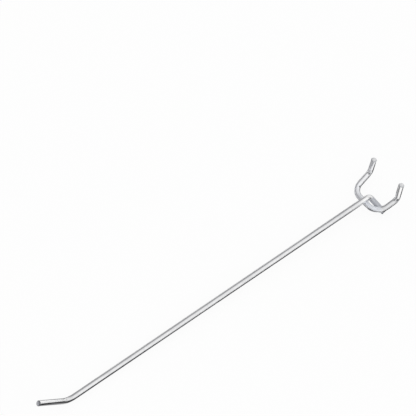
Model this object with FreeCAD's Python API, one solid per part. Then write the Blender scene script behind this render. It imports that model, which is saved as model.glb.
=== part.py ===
import FreeCAD, Part

import math
import os

# A pegboard hook of round plated wire, in millimetres, drawn as it hangs on its board.
# It is two bent wires, crossed and welded in two places:
#   shank       the long rod that carries the goods. Its front end turns up, and its back end
#               turns aside into a short foot that passes under the right arm of the fork.
#   prong_fork  the U of wire under the shank. Its two arms go back through the board's holes,
#               and their ends turn up behind the board.
#   shank_weld, foot_weld   the metal squeezed out round the two crossings.
# The origin is on the board's front face, level with the shank's axis and midway between
# the two holes. +Y points into the board, +Z up, and the shank runs out along -Y.

# Driving sizes
wire_d = 3.5            # one wire size throughout
reach = 254.0           # from the board's face to the end of the turned-up tip
hole_pitch = 25.4       # between the two holes of the board that the fork uses
set_down = 0.2          # how far the crossing wires are pressed into each other at a weld

# Fork
fork_base_gap = 7.35    # from the board's face back to the axis of the fork's base
fork_base_width = 22.0  # between the two arms, where they leave the base
left_corner_r = 6.5
right_corner_r = 9.0
arm_run = 14.1          # from the base to the prong bends, measured along Y
arm_rise_deg = 17.6
prong_bend_r = 4.5
prong_lean_deg = 17.2   # the prongs lean back from upright
left_prong = 11.0       # from the prong bend's corner to the end
right_prong = 12.9

# Shank
tip_length = 28.6       # from the corner of the tip's bend to the end
tip_rise_deg = 40.7
tip_bend_r = 14.0
tip_cut_deg = 12.0      # the shear left the tip's end face a little out of square
neck_start = 0.9        # how far past the fork's base the shank starts to dip
neck_run = 3.65         # from the fork's base to the foot's corner, measured along Y
neck_drop = 0.9
neck_bend_r = 4.0
foot_bend_r = 2.0
foot_length = 12.6
foot_swing_deg = 9.1    # the foot is turned this much towards the board
foot_drop_min_deg = 15.0
foot_drop_max_deg = 60.0

# Small forms
end_bevel = 0.3         # the sheared ends' rims
weld_r = 2.3            # how far each weld's flash spreads from its crossing
weld_half_height = 0.75
weld_bevel = 0.25
angle_steps = 30        # halvings used to settle the foot's drop

wire_r = wire_d / 2
crossing = wire_d - set_down


def vector(x, y, z):
    return FreeCAD.Vector(x, y, z)


def direction(swing_deg, rise_deg):
    """A unit vector: swing is from +X towards +Y, and rise is upwards."""
    swing, rise = math.radians(swing_deg), math.radians(rise_deg)
    return vector(math.cos(swing) * math.cos(rise), math.sin(swing) * math.cos(rise), math.sin(rise))


def bend(before, corner, after, radius):
    """The arc that rounds a corner: its two ends, its centre and its turn in degrees."""
    back = (before - corner).normalize()
    ahead = (after - corner).normalize()
    half = back.getAngle(ahead) / 2
    tangent = radius / math.tan(half)
    centre = corner + (back + ahead).normalize() * (radius / math.sin(half))
    turn = 180 - math.degrees(2 * half)
    return corner + back * tangent, corner + ahead * tangent, centre, turn


def route(corners, radii):
    """The runs and bends of a wire: a list of straight runs and a list of arcs."""
    runs, arcs = [], []
    start = corners[0]
    for before, corner, after, radius in zip(corners, corners[1:], corners[2:], radii):
        first, last, centre, turn = bend(before, corner, after, radius)
        runs.append((start, first))
        arcs.append((first, last, centre, turn))
        start = last
    runs.append((start, corners[-1]))
    for (start, end), ahead in zip(runs, zip(corners, corners[1:])):
        if (end - start).dot(ahead[1] - ahead[0]) <= 0:
            raise ValueError("a bend is too large for the runs beside it")
    return runs, arcs


def axis_wire(corners, radii):
    """The wire's axis as edges, for measuring how near two wires pass."""
    runs, arcs = route(corners, radii)
    edges = [Part.LineSegment(start, end).toShape() for start, end in runs]
    for first, last, centre, turn in arcs:
        middle = centre + ((first - centre) + (last - centre)).normalize() * (first - centre).Length
        edges.append(Part.Arc(first, middle, last).toShape())
    return Part.makeCompound(edges)


def rod(start, end):
    return Part.makeCylinder(wire_r, (end - start).Length, start, end - start)


def elbow(first, last, centre, turn, heading):
    """The bent stretch of a wire: its round section turned about the bend's centre."""
    section = Part.Face(Part.Wire(Part.makeCircle(wire_r, first, heading)))
    axis = (first - centre).cross(last - centre)
    return section.revolve(centre, axis, turn)


def bevelled_end(run, point):
    """The run with the rim of the end face at point taken off."""
    rims = [edge for edge in run.Edges if edge.isClosed() and (edge.BoundBox.Center - point).Length < wire_r / 2]
    return run.makeChamfer(end_bevel, rims)


def cut_askew(run, point, heading, lean_deg):
    """The run with its free end cut on a slant that leans to -X."""
    lean = math.radians(lean_deg)
    normal = heading * math.cos(lean) + vector(-1, 0, 0) * math.sin(lean)
    knife = Part.makeCylinder(2 * wire_d, 2 * wire_d, point, normal)
    return run.cut(knife)


def bent_wire(corners, radii, skew_deg=0.0):
    """A round wire along the corners, as one solid. The last end can be cut on a slant."""
    runs, arcs = route(corners, radii)
    spare = wire_d if skew_deg else 0.0
    pieces = []
    for number, (start, end) in enumerate(runs):
        heading = (end - start).normalize()
        last = number == len(runs) - 1
        run = rod(start, end + heading * spare if last else end)
        if number == 0:
            run = bevelled_end(run, start)
        if last:
            if skew_deg:
                run = cut_askew(run, end, heading, skew_deg)
            run = bevelled_end(run, end)
        pieces.append(run)
    for (first, last, centre, turn), (start, end) in zip(arcs, runs):
        pieces.append(elbow(first, last, centre, turn, end - start))
    return pieces[0].fuse(pieces[1:]).removeSplitter().Solids[0]


def fork_path():
    """The fork's corners, from the left prong's end to the right one's."""
    base_y, base_z = -fork_base_gap, -crossing
    bend_y = base_y + arm_run
    bend_z = base_z + arm_run * math.tan(math.radians(arm_rise_deg))
    upright = direction(90, 90 - prong_lean_deg)
    left_bend = vector(-hole_pitch / 2, bend_y, bend_z)
    right_bend = vector(hole_pitch / 2, bend_y, bend_z)
    corners = [
        left_bend + upright * left_prong,
        left_bend,
        vector(-fork_base_width / 2, base_y, base_z),
        vector(fork_base_width / 2, base_y, base_z),
        right_bend,
        right_bend + upright * right_prong,
    ]
    return corners, [prong_bend_r, left_corner_r, right_corner_r, prong_bend_r]


def foot_corner():
    return vector(0, -fork_base_gap + neck_run, -neck_drop)


def foot_end(drop_deg):
    return foot_corner() + direction(foot_swing_deg, -drop_deg) * foot_length


def foot_drop():
    """The foot's slope at which its axis passes one crossing under the fork's right arm."""
    fork_axis = axis_wire(*fork_path())
    low, high = foot_drop_min_deg, foot_drop_max_deg
    for _ in range(angle_steps):
        middle = (low + high) / 2
        foot_axis = Part.makeLine(foot_corner(), foot_end(middle))
        if foot_axis.distToShape(fork_axis)[0] < crossing:
            low = middle
        else:
            high = middle
    return high


def shank_path(drop_deg):
    """The shank's corners, from the foot's end to the tip's."""
    tip = direction(-90, tip_rise_deg)
    tip_end = vector(0, -reach, 0) + vector(0, 0, tip.z * tip_length)
    tip_corner = tip_end - tip * tip_length
    corners = [
        foot_end(drop_deg),
        foot_corner(),
        vector(0, -fork_base_gap + neck_start, 0),
        tip_corner,
        tip_end,
    ]
    return corners, [foot_bend_r, neck_bend_r, tip_bend_r]


def weld(point, heading, wires):
    """The flash round a crossing: a low round pad that fills only the room beside the wires."""
    heading = heading.normalize()
    pad = Part.makeCylinder(weld_r, weld_half_height * 2, point - heading * weld_half_height, heading)
    pad = pad.makeChamfer(weld_bevel, [edge for edge in pad.Edges if edge.isClosed()])
    return pad.cut(wires)


def save(name, shape):
    if not shape.isValid() or not shape.Solids:
        raise ValueError(name + " did not build")
    shape.exportStep("parts/" + name + ".step")
    print(name, "solids", len(shape.Solids), "volume", round(shape.Volume, 2))


def main():
    os.makedirs("parts", exist_ok=True)
    drop_deg = foot_drop()
    print("foot drop in degrees", round(drop_deg, 3))
    shank = bent_wire(*shank_path(drop_deg), skew_deg=tip_cut_deg)
    fork = bent_wire(*fork_path()).cut(shank).Solids[0]

    base_point = vector(0, -fork_base_gap, -crossing / 2)
    fork_axis = axis_wire(*fork_path())
    foot_axis = Part.makeLine(foot_corner(), foot_end(drop_deg))
    near_foot, near_fork = foot_axis.distToShape(fork_axis)[1][0]
    arm_point = (near_foot + near_fork) / 2

    save("shank", shank)
    save("prong_fork", fork)
    save("shank_weld", weld(base_point, vector(0, 0, 1), [shank, fork]))
    save("foot_weld", weld(arm_point, near_fork - near_foot, [shank, fork]))
    for name, shape in (("shank", shank), ("prong_fork", fork)):
        print(name, shape.BoundBox)
    print("crossing under the arm", arm_point)


main()
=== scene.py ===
"""Looks for a welded pegboard hook of bright plated wire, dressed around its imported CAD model."""

import logging
import math
from dataclasses import dataclass
from enum import Enum
from typing import Any, Sequence

import bmesh
import bpy
import numpy as np
from mathutils import Matrix, Vector


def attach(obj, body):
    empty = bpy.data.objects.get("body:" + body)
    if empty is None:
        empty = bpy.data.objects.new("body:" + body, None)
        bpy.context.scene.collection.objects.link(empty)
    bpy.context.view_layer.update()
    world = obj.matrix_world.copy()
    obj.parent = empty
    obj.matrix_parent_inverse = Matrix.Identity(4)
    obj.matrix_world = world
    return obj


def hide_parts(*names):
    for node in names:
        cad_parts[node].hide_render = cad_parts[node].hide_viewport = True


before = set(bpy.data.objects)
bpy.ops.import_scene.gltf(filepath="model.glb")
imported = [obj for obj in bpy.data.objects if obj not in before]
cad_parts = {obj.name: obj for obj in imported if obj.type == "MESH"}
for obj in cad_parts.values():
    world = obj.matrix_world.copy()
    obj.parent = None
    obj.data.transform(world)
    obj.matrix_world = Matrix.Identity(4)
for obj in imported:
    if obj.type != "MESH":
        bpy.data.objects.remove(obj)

MM = 0.001
ROOT_BODY = "root"
WHITE = (1.0, 1.0, 1.0)
QUARTER_TURN_DEG = 90.0

# A face with more corners than this closes an end of a wire or of a weld's lip.
QUAD_CORNERS = 4

# The mesh attributes that the wire's finish reads, the marks in the second one, and the values
# between which a mark begins to count.
PATH_ATTRIBUTE = "straightened"
SHEAR_ATTRIBUTE = "sheared"
END_MARK = 1.0
RIM_MARK = 0.5
END_MARKED = (0.7, 0.8)
RIM_MARKED = (0.2, 0.3)

# How much more blue than red the grey cards give back.
CARD_BLUE = 1.03

log = logging.getLogger("pegboard_hook")


class RecordSlot(Enum):
    """The material slots that the record names."""

    WIRE = "wire"
    WELD = "weld"


class EndCut(Enum):
    """How a wire's end was cut off."""

    SQUARE = "square"
    ASKEW = "askew"


def millimetres(x: float, y: float, z: float) -> Vector:
    """A point or direction given in millimetres, as metres."""
    return Vector((x, y, z)) * MM


def heading_of(swing_deg: float, rise_deg: float) -> Vector:
    """A unit direction that is turned from +X towards +Y by the swing and slopes upwards by the rise."""
    swing, rise = math.radians(swing_deg), math.radians(rise_deg)
    return Vector((math.cos(swing) * math.cos(rise), math.sin(swing) * math.cos(rise), math.sin(rise)))


def upward_normal(points: Sequence[Vector]) -> Vector:
    """The upward normal of the plane through three points.

    Args:
        points: the three points.

    Returns:
        The normal as a unit vector.
    """
    first, second, third = points
    normal = (second - first).cross(third - first).normalized()
    return -normal if normal.z < 0 else normal


def opaque(tone: Sequence[float]) -> tuple[float, ...]:
    """A colour with an alpha of 1."""
    return (*tone, 1.0)


def card_grey(grey: float) -> tuple[float, ...]:
    """The slightly bluish grey of the cards."""
    return opaque((grey, grey, grey * CARD_BLUE))


class Wired:
    """A shader socket that takes part in Python expressions."""

    def __init__(self, bench: "NodeBench", socket: Any) -> None:
        """Keeps the bench that makes new nodes and the output socket to read."""
        self.bench = bench
        self.socket = socket

    def _maths(self, operation: str, *values: Any, clamp: bool = False) -> "Wired":
        """A Math node on this bench."""
        settings = {"operation": operation, "use_clamp": clamp}
        return self.bench.node("ShaderNodeMath", settings, dict(enumerate(values)))

    def __add__(self, other: Any) -> "Wired":
        """This plus other."""
        return self._maths("ADD", self, other)

    __radd__ = __add__

    def __sub__(self, other: Any) -> "Wired":
        """This minus other."""
        return self._maths("SUBTRACT", self, other)

    def __rsub__(self, other: Any) -> "Wired":
        """Other minus this."""
        return self._maths("SUBTRACT", other, self)

    def __mul__(self, other: Any) -> "Wired":
        """This times other."""
        return self._maths("MULTIPLY", self, other)

    __rmul__ = __mul__

    def clamped(self) -> "Wired":
        """This, kept between nought and one."""
        return self._maths("ADD", self, 0.0, clamp=True)

    def beside(self, output: str) -> "Wired":
        """Another output of the same node."""
        return Wired(self.bench, self.socket.node.outputs[output])

    def between(self, low: float, high: float) -> "Wired":
        """A smooth step of this value.

        Args:
            low: the value that gives 0.
            high: the value that gives 1.

        Returns:
            A mask from 0 to 1.
        """
        settings = {"interpolation_type": "SMOOTHSTEP"}
        sockets = {"Value": self, "From Min": low, "From Max": high}
        return self.bench.node("ShaderNodeMapRange", settings, sockets)


@dataclass
class Skin:
    """What the layers of a metal finish have made of its surface so far, as numbers, colours or sockets."""

    colour: Any
    rough: Any
    metal: Any = 1.0


class NodeBench:
    """Makes and joins the nodes of one material or of the world."""

    def __init__(self, owner: Any) -> None:
        """Clears the owner's node tree.

        Args:
            owner: a material or a world.
        """
        owner.use_nodes = True
        self.tree = owner.node_tree
        self.tree.nodes.clear()

    def node(self, kind: str, settings: dict[str, Any] | None = None,
             sockets: dict[Any, Any] | None = None, output: str | int = 0) -> Wired:
        """Adds a node, sets it up and joins it.

        Args:
            kind: the node's type.
            settings: the node's own properties, set first.
            sockets: values or links of its input sockets, by name or number.
            output: the output socket to hand back, by name or number.

        Returns:
            The chosen output socket.
        """
        made = self.tree.nodes.new(kind)
        for key, value in (settings or {}).items():
            setattr(made, key, value)
        for key, value in (sockets or {}).items():
            socket = made.inputs[key]
            if isinstance(value, Wired):
                self.tree.links.new(value.socket, socket)
            else:
                socket.default_value = value
        return Wired(self, made.outputs[output] if len(made.outputs) else None)

    def place(self) -> Wired:
        """Object coordinates."""
        return self.node("ShaderNodeTexCoord", output="Object")

    def split(self, vector: Wired) -> tuple[Wired, Wired, Wired]:
        """The three parts of a vector."""
        first = self.node("ShaderNodeSeparateXYZ", sockets={0: vector}, output="X")
        return first, first.beside("Y"), first.beside("Z")

    def colours(self, factor: Any, first: Any, second: Any) -> Wired:
        """A mix of two colours.

        Args:
            factor: how much of the second colour is mixed in.
            first: the first colour.
            second: the second colour.

        Returns:
            The mixed colour.
        """
        settings = {"data_type": "RGBA", "blend_type": "MIX"}
        sockets = {0: factor, 6: first, 7: second}
        return self.node("ShaderNodeMix", settings, sockets, output=2)

    def near(self, place: Wired, centre: Vector, inner: float, outer: float) -> Wired:
        """A soft round mask.

        Args:
            place: the coordinates.
            centre: the mask's middle, in metres.
            inner: the radius inside which the mask is 1, in metres.
            outer: the radius outside which it is 0, in metres.

        Returns:
            The mask.
        """
        sockets = {0: place, 1: tuple(centre)}
        away = self.node("ShaderNodeVectorMath", {"operation": "DISTANCE"}, sockets, "Value")
        return 1.0 - away.between(inner, outer)

    def glow(self, colour: Any) -> Wired:
        """A surface that shows its colour as it is written."""
        return self.node("ShaderNodeEmission", sockets={"Color": colour, "Strength": 1.0})

    def surface(self, shader: Wired) -> None:
        """Ends a material's tree."""
        self.node("ShaderNodeOutputMaterial", sockets={"Surface": shader})

    def metal_surface(self, skin: Skin, relief: Wired, strength: float, depth: float) -> None:
        """Ends a metal's tree.

        Args:
            skin: its colour, roughness and metallic share.
            relief: the height of its fine relief.
            strength: how strongly the relief shows.
            depth: how deep a height of 1 is, in millimetres.
        """
        sockets = {"Strength": strength, "Distance": depth * MM, "Height": relief}
        bump = self.node("ShaderNodeBump", sockets=sockets)
        self.surface(self.node("ShaderNodeBsdfPrincipled", sockets={
            "Base Color": skin.colour,
            "Metallic": skin.metal,
            "Roughness": skin.rough,
            "Normal": bump,
        }))


@dataclass(frozen=True)
class Pattern:
    """A noise pattern: its cells to the metre across and along, its octaves and the share of the finer ones.

    Its limits are the values of the noise between which a mask made from it goes from 0 to 1.
    """

    across: float
    along: float
    detail: float = 2.0
    roughness: float = 0.6
    limits: tuple[float, float] = (0.35, 0.7)

    def noise(self, bench: NodeBench, place: Wired) -> Wired:
        """The noise from 0 to 1.

        Args:
            bench: where its nodes are made.
            place: the coordinates, with the third one along.

        Returns:
            The noise value.
        """
        scale = (self.across, self.across, self.along)
        spread = bench.node("ShaderNodeMapping", sockets={"Vector": place, "Scale": scale})
        sockets = {"Vector": spread, "Scale": 1.0, "Detail": self.detail, "Roughness": self.roughness}
        return bench.node("ShaderNodeTexNoise", sockets=sockets, output="Fac")

    def mask(self, bench: NodeBench, place: Wired) -> Wired:
        """The noise, made a mask by its limits."""
        return self.noise(bench, place).between(*self.limits)


@dataclass(frozen=True)
class ToneAndPaintedLightStretch:
    """A stretch of a wire painted another tone: paler as a painted highlight, darker as painted shade, or a
    bluish, duller tone.

    Its start, end and fade are millimetres along the wire. Frost is the share of it that is no longer
    metallic. Where it has heights, it covers only the wire's upper side and begins between the two; there
    it paints a highlight on the top.
    """

    start: float
    end: float
    fade: float
    strength: float
    tone: tuple[float, float, float]
    dulling: float
    frost: float = 0.0
    heights: tuple[float, float] | None = None


@dataclass(frozen=True)
class NickAndPaintedShadeMark:
    """A small dented, darkened spot on a wire's skin, with its place and sizes in millimetres: a nick that a
    bending tool left, or painted shade where the inner side of a bend or a crease looks dark.
    """

    place: tuple[float, float, float]
    reach: float
    depth: float
    shade: float


@dataclass(frozen=True)
class PlatedWire:
    """Bright plated drawn wire: draw lines, faint rings across, mottled haze, tool marks and sheared ends,
    with painted shade on the rims of the ends, in spots in bends and creases and in darker stretches, and
    painted highlights in paler stretches.
    """

    name: str
    bright: tuple[float, float, float] = (0.965, 0.968, 0.978)
    hazy: tuple[float, float, float] = (0.85, 0.855, 0.87)
    # The dark of the tool nicks, which also paints shade in bends and creases.
    nick_and_shade_dark: tuple[float, float, float] = (0.16, 0.165, 0.18)
    sheared: tuple[float, float, float] = (0.80, 0.803, 0.81)
    sheared_pale: tuple[float, float, float] = (0.90, 0.903, 0.91)
    # The dark rims round the sheared ends: painted shade that outlines the end faces.
    painted_rim_shade: tuple[float, float, float] = (0.55, 0.56, 0.58)
    haze: Pattern = Pattern(330.0, 150.0, detail=3.0, limits=(0.36, 0.66))
    rings: Pattern = Pattern(150.0, 1100.0)
    draw_lines: Pattern = Pattern(2600.0, 28.0)
    pits: Pattern = Pattern(1900.0, 1900.0, roughness=0.5, limits=(0.66, 0.8))
    grain: Pattern = Pattern(3200.0, 3200.0, detail=3.0)
    haze_share: float = 0.62
    ring_share: float = 0.38
    roughness: float = 0.115
    sheared_roughness: float = 0.42
    mottle_dulling: float = 0.06
    pit_dulling: float = 0.06
    nick_and_shade_dulling: float = 0.15
    nick_and_shade_core: float = 0.25
    tone_mottle: float = 0.4
    tone_shade: float = 0.88
    draw_line_relief: float = 0.15
    ring_relief: float = 0.3
    pit_relief: float = -0.25
    grain_relief: float = 1.2
    bump_strength: float = 0.35
    bump_depth: float = 0.03
    tone_and_painted_light_stretches: tuple[ToneAndPaintedLightStretch, ...] = ()
    nicks_and_painted_shade: tuple[NickAndPaintedShadeMark, ...] = ()

    def material(self) -> bpy.types.Material:
        """Makes the finish.

        Returns:
            The material.
        """
        made = bpy.data.materials.new(self.name)
        bench = NodeBench(made)
        place = bench.place()
        path = bench.node("ShaderNodeAttribute", {"attribute_name": PATH_ATTRIBUTE}, output="Vector")
        marked = bench.node("ShaderNodeAttribute", {"attribute_name": SHEAR_ATTRIBUTE}, output="Fac")
        rings = self.rings.mask(bench, path)
        pits = self.pits.mask(bench, place)
        grain = self.grain.noise(bench, place)
        mottle = (self.haze.mask(bench, path) * self.haze_share + rings * self.ring_share).clamped()

        skin = Skin(bench.colours(mottle, opaque(self.bright), opaque(self.hazy)),
                    self.roughness + mottle * self.mottle_dulling + pits * self.pit_dulling)
        self._paint_tone_and_light(bench, skin, mottle, place, path)
        self._apply_nick_and_shade_marks(bench, skin, place)

        cut = marked.between(*END_MARKED)
        worn = grain.between(*self.grain.limits)
        face = bench.colours(worn, opaque(self.sheared), opaque(self.sheared_pale))
        # Paints the rounded rims of the sheared ends dark, as painted shade round the end faces.
        skin.colour = bench.colours(marked.between(*RIM_MARKED), skin.colour, opaque(self.painted_rim_shade))
        skin.colour = bench.colours(cut, skin.colour, face)
        skin.rough = skin.rough * (1.0 - cut) + cut * self.sheared_roughness

        relief = self.draw_lines.noise(bench, path) * self.draw_line_relief + rings * self.ring_relief
        relief = relief + pits * self.pit_relief + grain * cut * self.grain_relief
        bench.metal_surface(skin, relief, self.bump_strength, self.bump_depth)
        return made

    def _paint_tone_and_light(self, bench: NodeBench, skin: Skin, mottle: Wired, place: Wired, path: Wired) -> None:
        """Lays the stretches of other tone, of painted highlight and of painted shade over the skin.

        Args:
            bench: where the nodes are made.
            skin: the surface so far.
            mottle: the haze and rings together.
            place: object coordinates.
            path: places on the wire as it was before bending.
        """
        along = bench.split(path)[2]
        height = bench.split(place)[2]
        for stretch in self.tone_and_painted_light_stretches:
            begun = along.between((stretch.start - stretch.fade) * MM, stretch.start * MM)
            over = along.between(stretch.end * MM, (stretch.end + stretch.fade) * MM)
            cover = begun * (1.0 - over) * stretch.strength
            if stretch.heights:
                cover = cover * height.between(*(h * MM for h in stretch.heights))
            shaded = tuple(self.tone_shade * c for c in stretch.tone)
            tone = bench.colours(mottle * self.tone_mottle, opaque(stretch.tone), opaque(shaded))
            # Paints the stretch's tone over the skin, which for some stretches is a painted highlight or
            # painted shade.
            skin.colour = bench.colours(cover, skin.colour, tone)
            skin.rough = skin.rough + cover * stretch.dulling
            skin.metal = skin.metal * (1.0 - cover * stretch.frost)

    def _apply_nick_and_shade_marks(self, bench: NodeBench, skin: Skin, place: Wired) -> None:
        """Darkens and dulls the skin in the marks: the tool nicks, and the spots of painted shade in bends
        and creases.

        Args:
            bench: where the nodes are made.
            skin: the surface so far.
            place: object coordinates.
        """
        for mark in self.nicks_and_painted_shade:
            inner, outer = self.nick_and_shade_core * mark.reach * MM, mark.reach * MM
            spot = bench.near(place, millimetres(*mark.place), inner, outer)
            # A nick's own dark, or painted shade where the mark sits in a bend or crease.
            skin.colour = bench.colours(spot * mark.shade, skin.colour, opaque(self.nick_and_shade_dark))
            skin.rough = skin.rough + spot * self.nick_and_shade_dulling


SHANK_FINISH = PlatedWire(
    "plated_shank_wire",
    bright=(0.885, 0.887, 0.894),
    hazy=(0.755, 0.758, 0.768),
    sheared=(0.44, 0.45, 0.48),
    sheared_pale=(0.56, 0.57, 0.60),
    # A very dark painted shade on the rims of the shank's sheared ends.
    painted_rim_shade=(0.16, 0.165, 0.18),
    # From the foot's end to 10.6 mm the foot is darker, bluish, duller and half as metallic. From 13 to 17 mm
    # the neck is painted paler as a highlight, and from 244 mm the turned-up tip is painted paler as a
    # highlight.
    tone_and_painted_light_stretches=(
        ToneAndPaintedLightStretch(-1.0, 10.6, 1.2, 1.0, (0.53, 0.544, 0.583), 0.22, 0.5),
        ToneAndPaintedLightStretch(13.0, 17.0, 2.0, 0.9, (0.985, 0.985, 0.985), -0.03),
        ToneAndPaintedLightStretch(244.0, 272.0, 5.0, 1.0, (0.99, 0.99, 0.99), -0.04),
    ),
    # The first two marks are tool nicks in the tip's bend. The third is painted shade in the tight inside of
    # the foot bend, and the last two are painted shade along the shank's lower side beside the crossing weld.
    nicks_and_painted_shade=(
        NickAndPaintedShadeMark((0.45, -233.38, 3.40), 0.75, 0.05, 0.45),
        NickAndPaintedShadeMark((-0.32, -234.45, 4.15), 0.7, 0.05, 0.45),
        NickAndPaintedShadeMark((1.58, -4.40, 0.12), 1.0, 0.10, 0.9),
        NickAndPaintedShadeMark((1.70, -5.90, -0.15), 0.9, 0.03, 0.75),
        NickAndPaintedShadeMark((1.70, -7.25, -0.20), 0.9, 0.03, 0.75),
    ),
)
FORK_FINISH = PlatedWire(
    "plated_fork_wire",
    # From 22 to 45 mm the left corner, the base and the right corner round the welds get a bluish, duller
    # tone, darker and less metallic from 25.5 to 31.5 mm. The two stretches with heights paint a pale
    # highlight on the upper side of the base's right end and the right corner. From 48 to 57 mm the right arm
    # is painted darker as shade, and from 59.5 mm the right prong is painted white as a highlight.
    tone_and_painted_light_stretches=(
        ToneAndPaintedLightStretch(22.0, 45.0, 4.0, 1.0, (0.92, 0.93, 0.955), 0.05, 0.05),
        ToneAndPaintedLightStretch(25.5, 31.5, 2.5, 0.6, (0.84, 0.852, 0.885), 0.10, 0.35),
        ToneAndPaintedLightStretch(36.6, 42.6, 2.0, 0.95, (0.915, 0.945, 1.0), 0.0, 0.8, (-2.25, -1.8)),
        ToneAndPaintedLightStretch(42.6, 45.6, 1.8, 0.9, (0.915, 0.945, 1.0), 0.0, 0.7, (-1.75, -1.3)),
        ToneAndPaintedLightStretch(48.0, 57.0, 1.5, 0.85, (0.80, 0.803, 0.812), -0.05),
        ToneAndPaintedLightStretch(59.5, 72.0, 1.5, 1.0, (1.0, 1.0, 1.0), 0.0, 0.13),
    ),
    # The first two marks are painted shade: the dark reflection on the inner sides of the two prong bends,
    # over a small dent. The third darkens a small dent where the left corner's bend begins.
    nicks_and_painted_shade=(
        NickAndPaintedShadeMark((14.18, 6.12, 2.70), 1.2, 0.10, 0.95),
        NickAndPaintedShadeMark((-11.47, 5.11, 2.29), 1.0, 0.10, 0.9),
        NickAndPaintedShadeMark((-9.70, -3.68, -1.09), 0.8, 0.08, 0.85),
    ),
)


@dataclass(frozen=True)
class WeldMetal:
    """The greyer plated metal squeezed out of a weld."""

    name: str = "weld_flash"
    pale: tuple[float, float, float] = (0.88, 0.89, 0.925)
    dark: tuple[float, float, float] = (0.72, 0.735, 0.78)
    blotches: Pattern = Pattern(900.0, 900.0, detail=3.0, limits=(0.35, 0.65))
    grain: Pattern = Pattern(3600.0, 3600.0, detail=3.0)
    roughness: float = 0.32
    grain_dulling: float = 0.15
    bump_strength: float = 0.4
    bump_depth: float = 0.05

    def material(self) -> bpy.types.Material:
        """Makes the finish.

        Returns:
            The material.
        """
        made = bpy.data.materials.new(self.name)
        bench = NodeBench(made)
        place = bench.place()
        blotches = self.blotches.mask(bench, place)
        grain = self.grain.noise(bench, place)
        skin = Skin(bench.colours(blotches, opaque(self.dark), opaque(self.pale)),
                    self.roughness + grain * self.grain_dulling)
        bench.metal_surface(skin, grain + blotches, self.bump_strength, self.bump_depth)
        return made


@dataclass(frozen=True)
class Bend:
    """One bend of a wire: the arc that rounds a corner of its route."""

    first: Vector
    last: Vector
    centre: Vector
    axis: Vector
    turn: float


@dataclass
class WireRoute:
    """The line that a bent wire follows: corners in metres, with a bend radius at each inner one."""

    corners: list[Vector]
    radii: list[float]

    def bends(self) -> list[Bend]:
        """Rounds the inner corners.

        Returns:
            The arcs in the wire's order.
        """
        corners = self.corners
        found = []
        for before, corner, after, radius in zip(corners, corners[1:], corners[2:], self.radii):
            back, ahead = (before - corner).normalized(), (after - corner).normalized()
            half = back.angle(ahead) / 2
            tangent = radius / math.tan(half)
            centre = corner + (back + ahead).normalized() * (radius / math.sin(half))
            first, last = corner + back * tangent, corner + ahead * tangent
            axis = (first - centre).cross(last - centre).normalized()
            found.append(Bend(first, last, centre, axis, math.pi - 2 * half))
        return found

    def line(self, step: float) -> np.ndarray:
        """Points along the wire's axis.

        Args:
            step: the most that two neighbours are apart, in metres.

        Returns:
            An array of points in metres.
        """
        points = [self.corners[0]]
        for bend in self.bends():
            points.append(bend.first)
            pieces = max(2, math.ceil((bend.first - bend.centre).length * bend.turn / step))
            for number in range(1, pieces + 1):
                turn = Matrix.Rotation(bend.turn * number / pieces, 3, bend.axis)
                points.append(bend.centre + turn @ (bend.first - bend.centre))
        points.append(self.corners[-1])
        filled = [np.array(points[0])]
        for start, end in zip(points, points[1:]):
            count = max(1, math.ceil((end - start).length / step))
            for number in range(1, count + 1):
                filled.append(np.array(start.lerp(end, number / count)))
        return np.array(filled)


def round_rims(piece: bpy.types.Object, bevel: float, segments: int) -> None:
    """Rounds the edges round a piece's two end faces, and leaves the new faces selected.

    Args:
        piece: the piece, in edit mode.
        bevel: how wide the round is, in metres.
        segments: how many faces it has across.
    """
    bpy.ops.mesh.select_mode(type="EDGE")
    bpy.ops.mesh.select_all(action="DESELECT")
    mesh = bmesh.from_edit_mesh(piece.data)
    for edge in mesh.edges:
        if any(len(face.verts) > QUAD_CORNERS for face in edge.link_faces):
            edge.select_set(True)
    bmesh.update_edit_mesh(piece.data)
    bpy.ops.mesh.bevel(offset=bevel, segments=segments, affect="EDGES")


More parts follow.
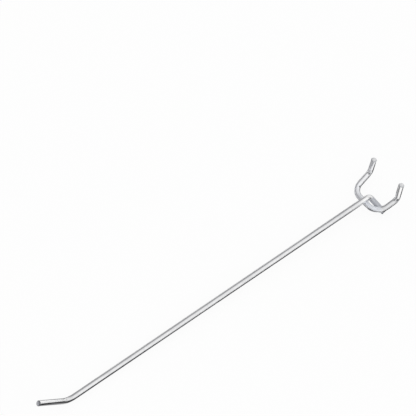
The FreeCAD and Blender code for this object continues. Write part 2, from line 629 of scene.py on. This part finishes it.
@dataclass
class WireBender:
    """Makes a bent wire as a mesh: a ring of points pulled along each run and spun round each bend.

    Its lengths are in metres. The ring slack is a share of the radius, and the side hint is any
    direction that the wire doesn't start along.
    """

    radius: float
    sides: int = 48
    run_step: float = 1.0 * MM
    bend_step_deg: float = 4.0
    least_bend_steps: int = 3
    rim_bevel: float = 0.44 * MM
    rim_segments: int = 3
    ring_slack: float = 0.01
    level_slack: float = 0.01 * MM
    smooth_angle_deg: float = 40.0
    path_step: float = 0.4 * MM
    side_hint: tuple[float, float, float] = (0.31, 0.52, 0.79)
    nicks_and_painted_shade: tuple[NickAndPaintedShadeMark, ...] = ()

    def bend(self, name: str, route: WireRoute, cut: EndCut, cut_lean_deg: float = 0.0) -> bpy.types.Object:
        """Bends a wire along its route.

        Args:
            name: the new piece's name.
            route: the wire's line.
            cut: how its last end is cut.
            cut_lean_deg: how far an askew cut leans to -X.

        Returns:
            The wire as a mesh object at the origin.
        """
        start, end = route.corners[0], route.corners[-1]
        piece = self._start_ring(name, start, route.corners[1] - start)
        here = start
        for bend in route.bends():
            self._pull(bend.first - here)
            self._spin(bend)
            here = bend.last
        self._pull(end - here)
        if cut is EndCut.ASKEW:
            self._slant(piece, end, (end - here).normalized(), cut_lean_deg)
        bpy.ops.mesh.edge_face_add()
        bpy.ops.mesh.select_all(action="DESELECT")
        self._close_start(piece, start, (route.corners[1] - start).normalized())
        bpy.ops.mesh.select_all(action="SELECT")
        bpy.ops.mesh.normals_make_consistent(inside=False)
        round_rims(piece, self.rim_bevel, self.rim_segments)
        bpy.ops.object.mode_set(mode="OBJECT")
        self._apply_nick_and_shade_marks(piece)
        self._mark_path(piece, route)
        self._mark_ends(piece)
        bpy.ops.object.shade_smooth_by_angle(angle=math.radians(self.smooth_angle_deg))
        return piece

    def _start_ring(self, name: str, point: Vector, heading: Vector) -> bpy.types.Object:
        """Adds the first ring of points.

        Args:
            name: the new piece's name.
            point: the ring's middle.
            heading: the way that the wire leaves it.

        Returns:
            The piece, in edit mode and with its ring selected.
        """
        bpy.ops.object.select_all(action="DESELECT")
        bpy.ops.mesh.primitive_circle_add(
            vertices=self.sides, radius=self.radius, location=point,
            rotation=heading.to_track_quat("Z", "Y").to_euler(),
        )
        piece = bpy.context.active_object
        piece.name = name
        bpy.ops.object.transform_apply(location=True, rotation=True, scale=True)
        bpy.ops.object.mode_set(mode="EDIT")
        bpy.ops.mesh.select_mode(type="VERT")
        bpy.ops.mesh.select_all(action="SELECT")
        return piece

    def _pull(self, along: Vector) -> None:
        """Extrudes the selected ring along a straight run.

        Args:
            along: the run, from its start to its end.
        """
        steps = max(1, round(along.length / self.run_step))
        for _ in range(steps):
            bpy.ops.mesh.extrude_region_move(TRANSFORM_OT_translate={"value": along / steps})

    def _spin(self, bend: Bend) -> None:
        """Spins the selected ring round a bend."""
        steps = max(self.least_bend_steps, round(math.degrees(bend.turn) / self.bend_step_deg))
        bpy.ops.mesh.spin(steps=steps, angle=-bend.turn, center=bend.centre, axis=bend.axis)

    def _slant(self, piece: bpy.types.Object, point: Vector, heading: Vector, lean_deg: float) -> None:
        """Slides the selected last ring's points along the wire, on to a plane that leans to -X.

        Args:
            piece: the wire, in edit mode.
            point: the last ring's middle.
            heading: the way that the wire runs there.
            lean_deg: how far the plane leans.
        """
        lean = math.radians(lean_deg)
        normal = heading * math.cos(lean) + Vector((-1, 0, 0)) * math.sin(lean)
        mesh = bmesh.from_edit_mesh(piece.data)
        for vertex in mesh.verts:
            if vertex.select:
                vertex.co -= heading * ((vertex.co - point).dot(normal) / heading.dot(normal))
        bmesh.update_edit_mesh(piece.data)

    def _close_start(self, piece: bpy.types.Object, point: Vector, heading: Vector) -> None:
        """Fills the first ring.

        Args:
            piece: the wire, in edit mode and with nothing selected.
            point: the first ring's middle.
            heading: the way that the wire leaves it.
        """
        mesh = bmesh.from_edit_mesh(piece.data)
        for vertex in mesh.verts:
            away = vertex.co - point
            level = abs(away.dot(heading)) < self.level_slack
            vertex.select = level and away.length < self.radius * (1.0 + self.ring_slack)
        mesh.select_flush(True)
        bmesh.update_edit_mesh(piece.data)
        bpy.ops.mesh.edge_face_add()

    def _apply_nick_and_shade_marks(self, piece: bpy.types.Object) -> None:
        """Presses the marks' small dents into the wire's skin, at the tool nicks and at the spots of painted
        shade alike.

        Args:
            piece: the wire, in object mode.
        """
        for mark in self.nicks_and_painted_shade:
            place = millimetres(*mark.place)
            for vertex in piece.data.vertices:
                share = (vertex.co - place).length / (mark.reach * MM)
                if share < 1.0:
                    vertex.co -= vertex.normal * (mark.depth * MM * (1.0 - share * share) ** 2)

    def _mark_path(self, piece: bpy.types.Object, route: WireRoute) -> None:
        """Gives each point its place on the wire as it was before bending: across, across, along.

        Args:
            piece: the wire, in object mode.
            route: its line.
        """
        line = route.line(self.path_step)
        steps = np.diff(line, axis=0)
        lengths = np.linalg.norm(steps, axis=1)
        headings = steps / lengths[:, None]
        along = np.concatenate([[0.0], np.cumsum(lengths)])
        side = np.cross(headings[0], self.side_hint)
        side /= np.linalg.norm(side)
        sides = [side]
        for heading in headings[1:]:
            side = side - heading * side.dot(heading)
            side /= np.linalg.norm(side)
            sides.append(side)
        sides = np.array(sides)
        ups = np.cross(headings, sides)
        points = np.empty(len(piece.data.vertices) * 3)
        piece.data.vertices.foreach_get("co", points)
        points = points.reshape(-1, 3)
        middles = (line[:-1] + line[1:]) / 2
        places = np.empty_like(points)
        for number, point in enumerate(points):
            nearest = int(((middles - point) ** 2).sum(axis=1).argmin())
            away = point - line[nearest]
            places[number] = (
                away.dot(sides[nearest]),
                away.dot(ups[nearest]),
                along[nearest] + away.dot(headings[nearest]),
            )
        attribute = piece.data.attributes.new(PATH_ATTRIBUTE, "FLOAT_VECTOR", "POINT")
        attribute.data.foreach_set("vector", places.ravel())

    def _mark_ends(self, piece: bpy.types.Object) -> None:
        """Marks the faces of the two sheared ends and, less strongly, of their rims, which get painted shade.

        Args:
            piece: the wire, in object mode and with its rims selected.
        """
        marks = []
        for face in piece.data.polygons:
            painted_rim_shade = RIM_MARK if face.select else 0.0
            marks.append(END_MARK if len(face.vertices) > QUAD_CORNERS else painted_rim_shade)
        attribute = piece.data.attributes.new(SHEAR_ATTRIBUTE, "FLOAT", "FACE")
        attribute.data.foreach_set("value", marks)


@dataclass
class Dressed:
    """What every sub-assembly of the hook shares: how a finished piece joins the frame."""

    def hand_over(self, piece: bpy.types.Object, node: str, slot: RecordSlot,
                  finish: bpy.types.Material) -> None:
        """Gives a piece its finish and puts it in a CAD node's place.

        Args:
            piece: the finished piece.
            node: the CAD node that it stands for.
            slot: the record's material slot; not used.
            finish: its material.
        """
        piece.data.materials.clear()
        piece.data.materials.append(finish)
        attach(piece, ROOT_BODY)
        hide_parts(node)
        log.info("%s: %d faces, stands for %s", piece.name, len(piece.data.polygons), node)


@dataclass
class ProngFork(Dressed):
    """The U of wire whose two prongs lock behind the board, in millimetres."""

    wire_radius: float = 1.75
    run_step: float = 0.4
    crossing: float = 3.3
    base_gap: float = 7.35
    base_width: float = 22.0
    left_corner_radius: float = 6.5
    right_corner_radius: float = 9.0
    arm_run: float = 14.1
    arm_rise_deg: float = 17.6
    prong_bend_radius: float = 4.5
    prong_lean_deg: float = 17.2
    hole_pitch: float = 25.4
    left_prong: float = 11.0
    right_prong: float = 12.9

    def route(self) -> WireRoute:
        """Lays out the fork's line.

        Returns:
            The line from the left prong's end to the right one's.
        """
        bend_y = -self.base_gap + self.arm_run
        bend_z = -self.crossing + self.arm_run * math.tan(math.radians(self.arm_rise_deg))
        upright = heading_of(QUARTER_TURN_DEG, QUARTER_TURN_DEG - self.prong_lean_deg) * MM
        left = millimetres(-self.hole_pitch / 2, bend_y, bend_z)
        right = millimetres(self.hole_pitch / 2, bend_y, bend_z)
        corners = [
            left + upright * self.left_prong,
            left,
            millimetres(-self.base_width / 2, -self.base_gap, -self.crossing),
            millimetres(self.base_width / 2, -self.base_gap, -self.crossing),
            right,
            right + upright * self.right_prong,
        ]
        prong_bend = self.prong_bend_radius
        radii = [prong_bend, self.left_corner_radius, self.right_corner_radius, prong_bend]
        return WireRoute(corners, [radius * MM for radius in radii])

    def build(self, finish: PlatedWire) -> bpy.types.Object:
        """Bends the fork and dresses it.

        Args:
            finish: the wire's finish, with its tool nicks and spots of painted shade.

        Returns:
            The fork.
        """
        bender = WireBender(self.wire_radius * MM, run_step=self.run_step * MM, nicks_and_painted_shade=finish.nicks_and_painted_shade)
        piece = bender.bend("bent_prong_fork", self.route(), EndCut.SQUARE)
        self.hand_over(piece, "prong_fork", RecordSlot.WIRE, finish.material())
        return piece


@dataclass
class Shank(Dressed):
    """The long wire that carries the goods, with a turned-up tip and a foot turned aside, in millimetres."""

    wire_radius: float = 1.75
    reach: float = 254.0
    base_gap: float = 7.35
    tip_length: float = 28.6
    tip_rise_deg: float = 40.7
    tip_bend_radius: float = 14.0
    tip_cut_deg: float = 12.0
    neck_start: float = 0.9
    neck_run: float = 3.65
    neck_drop: float = 0.9
    neck_bend_radius: float = 4.0
    foot_bend_radius: float = 2.0
    foot_length: float = 12.6
    foot_swing_deg: float = 9.1
    foot_drop_deg: float = 23.343

    def route(self) -> WireRoute:
        """Lays out the shank's line.

        Returns:
            The line from the foot's end to the tip's.
        """
        tip = heading_of(-QUARTER_TURN_DEG, self.tip_rise_deg)
        tip_end = millimetres(0, -self.reach, tip.z * self.tip_length)
        foot_corner = millimetres(0, self.neck_run - self.base_gap, -self.neck_drop)
        foot = heading_of(self.foot_swing_deg, -self.foot_drop_deg) * MM
        corners = [
            foot_corner + foot * self.foot_length,
            foot_corner,
            millimetres(0, self.neck_start - self.base_gap, 0),
            tip_end - tip * MM * self.tip_length,
            tip_end,
        ]
        radii = [self.foot_bend_radius, self.neck_bend_radius, self.tip_bend_radius]
        return WireRoute(corners, [radius * MM for radius in radii])

    def build(self, finish: PlatedWire) -> bpy.types.Object:
        """Bends the shank and dresses it.

        Args:
            finish: the wire's finish, with its tool nicks and spots of painted shade.

        Returns:
            The shank.
        """
        bender = WireBender(self.wire_radius * MM, nicks_and_painted_shade=finish.nicks_and_painted_shade)
        piece = bender.bend("long_shank", self.route(), EndCut.ASKEW, self.tip_cut_deg)
        self.hand_over(piece, "shank", RecordSlot.WIRE, finish.material())
        return piece


@dataclass
class WeldFlash(Dressed):
    """The low ragged lip of metal that was squeezed out where two wires cross, in millimetres.

    Each wave of its outline has a count round the lip, a shift in seeds and a height. The waves are
    left out inside the core's share of the radius.
    """

    name: str
    node: str
    middle: tuple[float, float, float]
    axis: tuple[float, float, float]
    seed: float
    radius: float = 2.05
    half_height: float = 0.55
    sides: int = 40
    rim_bevel: float = 0.42
    rim_segments: int = 5
    smooth_angle_deg: float = 60.0
    raggedness: float = 0.16
    waves: tuple[tuple[int, int, float], ...] = ((3, 1, 0.5), (5, -2, 0.3), (11, 3, 0.2))
    core_share: float = 0.5

    def build(self, finish: bpy.types.Material) -> bpy.types.Object:
        """Makes the flash and dresses it.

        Args:
            finish: the weld's material.

        Returns:
            The flash.
        """
        bpy.ops.object.select_all(action="DESELECT")
        bpy.ops.mesh.primitive_cylinder_add(
            vertices=self.sides, radius=self.radius * MM, depth=2 * self.half_height * MM,
            location=millimetres(*self.middle), rotation=Vector(self.axis).to_track_quat("Z", "Y").to_euler(),
        )
        piece = bpy.context.active_object
        piece.name = self.name
        bpy.ops.object.transform_apply(location=True, rotation=True, scale=True)
        bpy.ops.object.mode_set(mode="EDIT")
        round_rims(piece, self.rim_bevel * MM, self.rim_segments)
        bpy.ops.object.mode_set(mode="OBJECT")
        self._ruffle(piece)
        bpy.ops.object.shade_smooth_by_angle(angle=math.radians(self.smooth_angle_deg))
        self.hand_over(piece, self.node, RecordSlot.WELD, finish)
        return piece

    def _ruffle(self, piece: bpy.types.Object) -> None:
        """Makes the flash's outline uneven.

        Args:
            piece: the flash, in object mode.
        """
        centre = millimetres(*self.middle)
        axis = Vector(self.axis).normalized()
        side = axis.orthogonal().normalized()
        up = axis.cross(side)
        for vertex in piece.data.vertices:
            away = vertex.co - centre
            angle = math.atan2(away.dot(up), away.dot(side))
            wave = sum(
                math.sin(count * angle + shift * self.seed) * height
                for count, shift, height in self.waves
            )
            flat = away - axis * away.dot(axis)
            share = flat.length / (self.radius * MM)
            if share > self.core_share:
                vertex.co -= flat.normalized() * ((1.0 - wave) / 2) * self.raggedness * MM * share


@dataclass(frozen=True)
class CardPatch:
    """A soft-edged grey patch of the lying card, for the plating to reflect, in millimetres."""

    span_x: tuple[float, float]
    span_y: tuple[float, float]
    grey: float
    fade: float

    def cover(self, sideways: Wired, ahead: Wired) -> Wired:
        """The patch's mask on the card."""
        return self._inside(sideways, self.span_x) * self._inside(ahead, self.span_y)

    def _inside(self, value: Wired, span: tuple[float, float]) -> Wired:
        """A soft mask along one axis.

        Args:
            value: the coordinate.
            span: the two limits that it lies between.

        Returns:
            The mask.
        """
        half = self.fade / 2
        begun = value.between((span[0] - half) * MM, (span[0] + half) * MM)
        over = value.between((span[1] - half) * MM, (span[1] + half) * MM)
        return begun * (1.0 - over)


@dataclass(frozen=True)
class BentCard:
    """A standing bent grey card, seen in the plating only, in metres.

    It fades out between the two heights of its fade, and past its two ends, which are turns from +X
    towards +Y.
    """

    name: str
    radius: float
    top: float
    grey: float
    fade: tuple[float, float]
    ends_deg: tuple[float, float]
    end_fade: float = 0.3
    bottom: float = -0.15
    middle_y: float = -0.1
    sides: int = 144

    def material(self) -> bpy.types.Material:
        """Makes the card's grey, which fades out at its top and its ends.

        Returns:
            The material.
        """
        made = bpy.data.materials.new(self.name)
        bench = NodeBench(made)
        sideways, level, height = bench.split(bench.place())
        ahead = level - self.middle_y
        cover = 1.0 - height.between(*self.fade)
        for end_deg, turn_deg in zip(self.ends_deg, (QUARTER_TURN_DEG, -QUARTER_TURN_DEG)):
            inward = math.radians(end_deg + turn_deg)
            past_end = sideways * math.cos(inward) + ahead * math.sin(inward)
            cover = cover * past_end.between(-self.end_fade, self.end_fade)
        clear = bench.node("ShaderNodeBsdfTransparent")
        shade = bench.glow(card_grey(self.grey))
        bench.surface(bench.node("ShaderNodeMixShader", sockets={0: cover, 1: clear, 2: shade}))
        return made

    def stand(self) -> bpy.types.Object:
        """Stands the card round the hook.

        Returns:
            The card.
        """
        bpy.ops.object.select_all(action="DESELECT")
        bpy.ops.mesh.primitive_cylinder_add(
            vertices=self.sides, radius=self.radius, depth=self.top - self.bottom, end_fill_type="NOTHING",
            location=(0.0, self.middle_y, (self.top + self.bottom) / 2),
        )
        wall = bpy.context.active_object
        wall.name = self.name
        bpy.ops.object.transform_apply(location=True, rotation=True, scale=True)
        wall.data.materials.append(self.material())
        return wall


@dataclass(frozen=True)
class RestingPlace:
    """A box, in millimetres, that holds one of the places on which the hook lies."""

    low: tuple[float, float, float]
    high: tuple[float, float, float]

    def lowest(self, pieces: Sequence[bpy.types.Object], normal: Vector) -> Vector:
        """The lowest point of some pieces inside the box.

        Args:
            pieces: the pieces to search.
            normal: which way is up.

        Returns:
            The point.
        """
        low, high = millimetres(*self.low), millimetres(*self.high)
        inside = (
            vertex.co.copy() for piece in pieces for vertex in piece.data.vertices
            if all(low[axis] <= vertex.co[axis] <= high[axis] for axis in range(3))
        )
        return min(inside, key=normal.dot)


@dataclass
class Studio:
    """The plain pale floor, the white surroundings with a few grey cards, and the camera.

    A name that ends in deg or mm gives its unit. The spans and the lift of the lying card and the
    resting places are millimetres too, and the other lengths are metres.
    """

    pixels_per_mm: float = 1.68
    frame_pixels: float = 416.0
    camera_distance: float = 10.0
    camera_clip: tuple[float, float] = (0.1, 200.0)
    camera_right: tuple[float, float, float] = (0.621467, 0.783184, -0.020035)
    camera_up: tuple[float, float, float] = (-0.649094, 0.529048, 0.546612)
    camera_back: tuple[float, float, float] = (0.438697, -0.326697, 0.837146)
    aim_mm: tuple[float, float, float] = (-55.643, -82.522, -2.670)
    sensor_mm: float = 36.0
    surround: float = 0.84
    surround_peak: float = 1.0
    peak_heading_deg: tuple[float, float] = (12.0, 36.0)
    peak_fade: tuple[float, float] = (0.55, 0.95)
    floor_glow: float = 0.90
    floor_colour: tuple[float, float, float] = (0.98, 0.98, 0.98)
    floor_radius: float = 1.5
    floor_sides: int = 96
    resting_places: tuple[RestingPlace, ...] = (
        RestingPlace((5, -5, -20), (20, 5, 0)),
        RestingPlace((-20, -15, -20), (-5, 0, 0)),
        RestingPlace((-5, -260, -20), (5, -180, 20)),
    )
    first_normal: tuple[float, float, float] = (0.119, 0.02, 0.993)
    settling_rounds: int = 4
    bent_cards: tuple[BentCard, ...] = (
        BentCard("tall_grey_card", 1.0, 3.25, 0.32, (0.6, 3.0), (132.0, 292.0)),
        BentCard("low_grey_card", 0.95, 0.30, 0.40, (0.0, 0.16), (-25.0, 70.0)),
    )
    card_span_x: tuple[float, float] = (-70.0, 130.0)
    card_span_y: tuple[float, float] = (-275.0, 60.0)
    card_lift: float = 0.05
    card_patches: tuple[CardPatch, ...] = (
        CardPatch((-30.0, 24.0), (-36.0, -12.0), 0.44, 4.0),
        CardPatch((-34.0, -18.0), (-40.0, 6.0), 0.38, 3.0),
        CardPatch((78.0, 150.0), (-50.0, 20.0), 0.42, 12.0),
        CardPatch((66.0, 99.0), (-48.0, 22.0), 0.16, 8.0),
        CardPatch((22.0, 90.0), (-204.0, -156.0), 0.25, 24.0),
        CardPatch((11.0, 70.0), (-254.0, -183.0), 0.02, 11.0),
        CardPatch((-32.0, -4.0), (-244.0, -203.0), 0.26, 6.0),
        CardPatch((-15.0, 0.0), (-206.0, -9.0), 0.42, 2.0),
        CardPatch((3.0, 27.0), (-38.0, -9.0), 0.20, 2.0),
        CardPatch((-6.0, 2.0), (-17.0, -8.0), 0.32, 2.0),
        CardPatch((1.0, 6.5), (-38.0, -16.0), 0.03, 1.5),
        CardPatch((0.8, 24.0), (-120.0, -36.0), 0.02, 2.0),
        CardPatch((1.2, 24.0), (-234.0, -120.0), 0.06, 2.0),
        CardPatch((0.0, 12.0), (-256.0, -234.0), 0.20, 5.0),
        CardPatch((9.5, 27.5), (-6.0, 9.0), 0.02, 1.5),
        CardPatch((14.0, 36.0), (11.0, 26.0), 0.05, 3.0),
        CardPatch((-12.0, -1.0), (-5.0, 9.0), 0.04, 2.0),
        CardPatch((-12.0, 1.0), (9.0, 18.0), 0.10, 3.0),
        CardPatch((9.0, 18.0), (6.0, 18.0), 0.04, 2.0),
    )

    def set_camera(self) -> None:
        """Stands the camera where the photograph was taken from."""
        axes = (self.camera_right, self.camera_up, self.camera_back)
        right, up, back = (Vector(axis).normalized() for axis in axes)
        data = bpy.data.cameras.new("camera")
        data.sensor_width = self.sensor_mm
        data.sensor_fit = "HORIZONTAL"
        view_width = self.frame_pixels / self.pixels_per_mm * MM
        data.lens = self.sensor_mm * self.camera_distance / view_width
        data.clip_start, data.clip_end = self.camera_clip
        camera = bpy.data.objects.new("camera", data)
        bpy.context.scene.collection.objects.link(camera)
        turn = Matrix((right, up, back)).transposed().to_4x4()
        stand = millimetres(*self.aim_mm) + back * self.camera_distance
        camera.matrix_world = Matrix.Translation(stand) @ turn
        bpy.context.scene.camera = camera

    def set_world(self) -> None:
        """Lights the scene from a plain pale surround, a little whiter up on the right."""
        world = bpy.data.worlds.new("pale_surround")
        bench = NodeBench(world)
        ahead = bench.node("ShaderNodeTexCoord", output="Generated")
        sockets = {0: ahead, 1: tuple(heading_of(*self.peak_heading_deg))}
        facing = bench.node("ShaderNodeVectorMath", {"operation": "DOT_PRODUCT"}, sockets, "Value")
        strength = self.surround + facing.between(*self.peak_fade) * (self.surround_peak - self.surround)
        shader = bench.node("ShaderNodeBackground", sockets={"Color": opaque(WHITE), "Strength": strength})
        bench.node("ShaderNodeOutputWorld", sockets={"Surface": shader})
        bpy.context.scene.world = world

    def resting_points(self, pieces: Sequence[bpy.types.Object]) -> list[Vector]:
        """Finds what the hook lies on: the foot's end, the fork's left corner and the shank's front.

        Args:
            pieces: the hook's pieces.

        Returns:
            The three points.
        """
        normal = Vector(self.first_normal)
        for _ in range(self.settling_rounds):
            points = [place.lowest(pieces, normal) for place in self.resting_places]
            normal = upward_normal(points)
        return points

    def floor_material(self) -> bpy.types.Material:
        """Makes a white that still takes the hook's shadow.

        Returns:
            The material.
        """
        made = bpy.data.materials.new("pale_floor")
        bench = NodeBench(made)
        matt = bench.node("ShaderNodeBsdfDiffuse", sockets={"Color": opaque(self.floor_colour)})
        glow = bench.glow(opaque(WHITE))
        rays = bench.node("ShaderNodeLightPath", output="Is Camera Ray")
        seen = rays + rays.beside("Is Glossy Ray") + rays.beside("Is Transmission Ray")
        share = seen.clamped() * self.floor_glow
        bench.surface(bench.node("ShaderNodeMixShader", sockets={0: share, 1: matt, 2: glow}))
        return made

    def lay_floor(self, touching: Sequence[Vector]) -> tuple[Vector, Vector]:
        """Lays the floor under the three points that the hook lies on.

        Args:
            touching: the three lowest points.

        Returns:
            A point of the floor and its upward normal.
        """
        point, normal = touching[0], upward_normal(touching)
        bpy.ops.object.select_all(action="DESELECT")
        bpy.ops.mesh.primitive_circle_add(
            vertices=self.floor_sides, radius=self.floor_radius, fill_type="NGON", location=point,
            rotation=normal.to_track_quat("Z", "Y").to_euler(),
        )
        floor = bpy.context.active_object
        floor.name = "pale_floor"
        bpy.ops.object.transform_apply(location=True, rotation=True, scale=True)
        floor.data.materials.append(self.floor_material())
        return point, normal

    @staticmethod
    def show_to_reflections_only(card: bpy.types.Object) -> None:
        """Keeps a card out of the picture and its shade off the floor.

        Args:
            card: the card.
        """
        card.visible_camera = False
        card.visible_diffuse = False
        card.visible_transmission = False
        card.visible_shadow = False
        card.visible_volume_scatter = False

    def card_material(self) -> bpy.types.Material:
        """Makes the lying card's soft grey patches on white.

        Returns:
            The material.
        """
        made = bpy.data.materials.new("patched_card")
        bench = NodeBench(made)
        sideways, ahead, _ = bench.split(bench.place())
        shade: Any = opaque(WHITE)
        for patch in self.card_patches:
            shade = bench.colours(patch.cover(sideways, ahead), shade, card_grey(patch.grey))
        bench.surface(bench.glow(shade))
        return made

    def lay_card(self, point: Vector, normal: Vector) -> None:
        """Lays the patched card on the floor.

        Args:
            point: a point of the floor.
            normal: the floor's upward normal.
        """
        sideways = (Vector((1, 0, 0)) - normal * normal.x).normalized()
        turn = Matrix((sideways, normal.cross(sideways), normal)).transposed().to_euler()
        middle = millimetres(sum(self.card_span_x) / 2, sum(self.card_span_y) / 2, 0)
        middle.z = point.z - (normal.x * (middle.x - point.x) + normal.y * (middle.y - point.y)) / normal.z
        lifted = middle + normal * (self.card_lift * MM)
        bpy.ops.object.select_all(action="DESELECT")
        bpy.ops.mesh.primitive_plane_add(size=1.0, location=lifted, rotation=turn)
        card = bpy.context.active_object
        card.name = "patched_card"
        width, length = (span[1] - span[0] for span in (self.card_span_x, self.card_span_y))
        card.scale = (width * MM, length * MM, 1.0)
        bpy.ops.object.transform_apply(location=True, rotation=True, scale=True)
        card.data.materials.append(self.card_material())
        self.show_to_reflections_only(card)

    def surround_hook(self, pieces: Sequence[bpy.types.Object]) -> None:
        """Lays the floor and the patched card under the hook and stands the bent cards round it.

        Args:
            pieces: the hook's pieces.
        """
        self.lay_card(*self.lay_floor(self.resting_points(pieces)))
        for card in self.bent_cards:
            self.show_to_reflections_only(card.stand())


SHANK_WELD = WeldFlash(
    "shank_weld_flash", "shank_weld", middle=(0, -7.35, -1.65), axis=(0, 0, 1), seed=0.7,
)
FOOT_WELD = WeldFlash(
    "foot_weld_flash", "foot_weld", middle=(9.26, -3.27, -3.48), axis=(0.2, 0.33, 0.92), seed=2.1,
)


def main() -> None:
    """Builds and dresses the hook, then sets the studio round it."""
    logging.basicConfig(level=logging.INFO, format="%(name)s: %(message)s")
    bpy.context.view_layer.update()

    bpy.context.scene.view_settings.view_transform = "Standard"
    studio = Studio()
    studio.set_camera()
    studio.set_world()

    flash = WeldMetal().material()
    pieces = [
        Shank().build(SHANK_FINISH),
        ProngFork().build(FORK_FINISH),
        SHANK_WELD.build(flash),
        FOOT_WELD.build(flash),
    ]
    studio.surround_hook(pieces)


if __name__ == "__main__":
    main()
